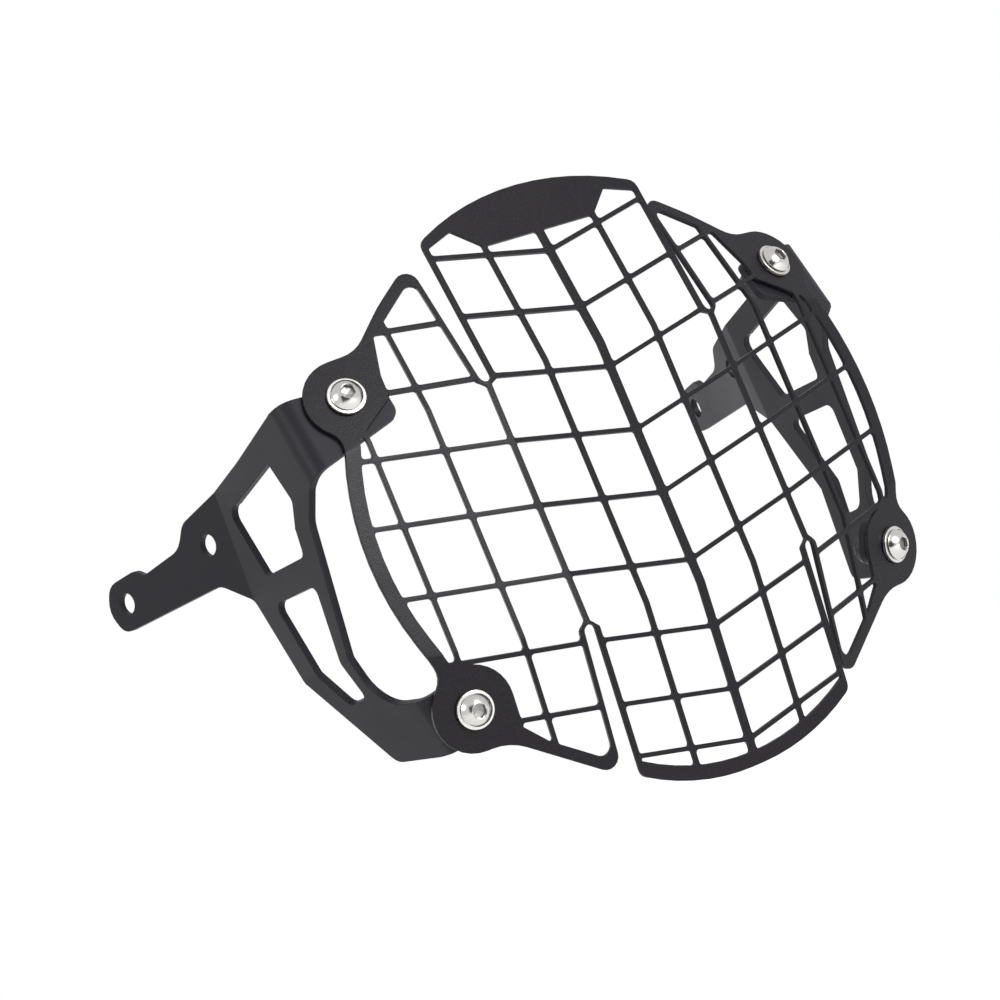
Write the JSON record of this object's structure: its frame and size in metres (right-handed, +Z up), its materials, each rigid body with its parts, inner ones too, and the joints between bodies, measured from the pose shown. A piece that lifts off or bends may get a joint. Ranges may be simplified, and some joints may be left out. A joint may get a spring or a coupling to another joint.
{
  "type": "motorcycle headlight guard",
  "caption": "Folded sheet-steel grille with a small visor that shields a motorcycle headlight, screwed to two bent side brackets.",
  "frame": {"origin": "midway between the rear screw holes of the two brackets, in the middle of their sheet", "axes": "-Y to the front, where the grille is; +Z up towards the visor; +X across, to the right as seen from the front"},
  "size_m": [0.2498, 0.1351, 0.1967],
  "materials": {
    "textured_black_powder_coat": "fine-textured powder coat",
    "satin_black_paint": "satin",
    "stainless_steel": "bright",
    "zinc_plated_steel": "satin plating",
    "blue_nylon": "moulded"
  },
  "bodies": {
    "root": {"grille": "textured_black_powder_coat", "left_bracket": "satin_black_paint", "right_bracket": "satin_black_paint", "upper_left_screw": "stainless_steel", "upper_left_head_washer": "stainless_steel", "upper_left_nut_washer": "zinc_plated_steel", "upper_left_lock_nut": "zinc_plated_steel", "upper_left_nut_insert": "blue_nylon", "upper_right_screw": "stainless_steel", "upper_right_head_washer": "stainless_steel", "upper_right_nut_washer": "zinc_plated_steel", "upper_right_lock_nut": "zinc_plated_steel", "upper_right_nut_insert": "blue_nylon", "lower_left_screw": "stainless_steel", "lower_left_head_washer": "stainless_steel", "lower_left_nut_washer": "zinc_plated_steel", "lower_left_lock_nut": "zinc_plated_steel", "lower_left_nut_insert": "blue_nylon", "lower_right_screw": "stainless_steel", "lower_right_head_washer": "stainless_steel", "lower_right_nut_washer": "zinc_plated_steel", "lower_right_lock_nut": "zinc_plated_steel", "lower_right_nut_insert": "blue_nylon"}
  },
  "joints": []
}
